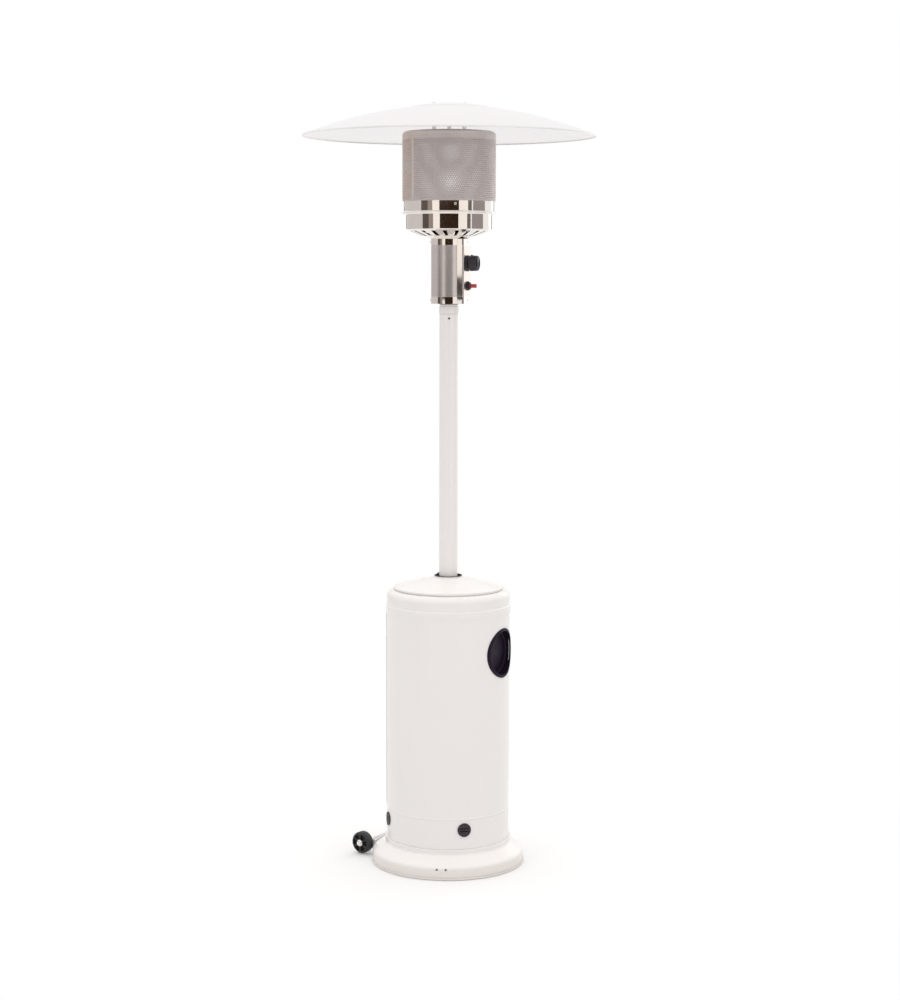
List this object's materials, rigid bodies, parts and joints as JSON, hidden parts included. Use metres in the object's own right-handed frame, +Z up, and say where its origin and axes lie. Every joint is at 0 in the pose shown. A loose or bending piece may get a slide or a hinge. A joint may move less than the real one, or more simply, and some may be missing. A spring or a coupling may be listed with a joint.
{
  "type": "gas patio heater",
  "caption": "Mushroom gas patio heater: spun reflector over a perforated emitter and control head on a pole, round base with wheels, bottle housing that lifts.",
  "frame": {"origin": "on the ground at the centre of the round base", "axes": "+Z up the pole, -Y to the front that the picture shows, +X to its right"},
  "size_m": [0.84, 0.84, 2.212],
  "materials": {
    "white_paint": "satin powder coat",
    "brushed_steel": "brushed",
    "polished_steel": "polished",
    "screen_steel": "perforated sheet, dulled by heat",
    "aluminium": "spun satin",
    "brass": "machined",
    "zinc_steel": "zinc plated",
    "black_steel": "black satin",
    "black_plastic": "moulded satin",
    "trim_plastic": "light grey extrusion",
    "wheel_plastic": "hard tyre",
    "red_plastic": "gloss",
    "ceramic": "glazed ceramic"
  },
  "bodies": {
    "stand": {"base_pan": "white_paint", "edge_trim": "trim_plastic", "wheel_bracket": "white_paint", "axle": "zinc_steel", "hub_caps": "polished_steel", "post_bolts": "zinc_steel", "pole_bracket": "white_paint", "pole": "white_paint", "pole_bolts": "black_steel", "neck": "white_paint", "control_body": "brushed_steel", "bottom_cap": "polished_steel", "top_cap": "polished_steel", "gas_valve": "brass", "valve_spring": "zinc_steel", "knob_bezel": "black_plastic", "igniter_nut": "black_plastic", "igniter_body": "black_plastic", "igniter_spring": "zinc_steel", "tilt_switch": "black_plastic", "gas_inlet": "brass", "feed_pipe": "zinc_steel", "burner_pipe": "zinc_steel", "burner_bowl": "polished_steel", "burner_plate": "polished_steel", "upper_band": "polished_steel", "emitter_screen": "screen_steel", "emitter_cap": "screen_steel", "venturi_tube": "zinc_steel", "burner_cup": "brushed_steel", "gas_jet": "brass", "pilot_bracket": "brushed_steel", "pilot_burner": "brass", "pilot_pipe": "zinc_steel", "thermocouple": "brushed_steel", "electrode": "ceramic", "reflector": "aluminium", "reflector_studs": "zinc_steel", "stud_nuts": "zinc_steel", "support_post_1": "white_paint", "support_post_2": "white_paint", "support_post_3": "white_paint"},
    "housing": {"housing_shell": "white_paint", "housing_lid": "white_paint", "hand_grip_left": "black_plastic", "hand_grip_right": "black_plastic", "vent_plugs": "black_plastic"},
    "knob_ring": {"thrust_ring": "brass"},
    "knob": {"control_knob": "black_plastic", "valve_stem": "brass"},
    "igniter_button": {"igniter_button": "red_plastic"},
    "left_wheel": {"wheel_left": "wheel_plastic"},
    "right_wheel": {"wheel_right": "wheel_plastic"}
  },
  "joints": [
    {"name": "housing_lift", "type": "slide", "parent": "stand", "child": "housing", "axis": [0, 0, 1], "range_m": [0, 0.7]},
    {"name": "knob_push", "type": "slide", "parent": "stand", "child": "knob_ring", "axis": [-0.9511, 0.309, 0], "range_m": [0, 0.004], "stiffness_N_per_m": 1500, "deforming": ["valve_spring"]},
    {"name": "knob_turn", "type": "hinge", "parent": "knob_ring", "child": "knob", "pos_m": [0.06657, -0.02163, 1.7576], "axis": [0.9511, -0.309, 0], "range_deg": [0, 180]},
    {"name": "igniter_push", "type": "slide", "parent": "stand", "child": "igniter_button", "axis": [-0.9511, 0.309, 0], "range_m": [0, 0.008], "stiffness_N_per_m": 800, "deforming": ["igniter_spring"]},
    {"name": "left_wheel_spin", "type": "hinge", "parent": "stand", "child": "left_wheel", "pos_m": [-0.25443, 0.05941, 0.035], "axis": [-0.5693, -0.8221, 0], "continuous": true},
    {"name": "right_wheel_spin", "type": "hinge", "parent": "stand", "child": "right_wheel", "pos_m": [-0.14513, 0.21726, 0.035], "axis": [-0.5693, -0.8221, 0], "continuous": true}
  ]
}
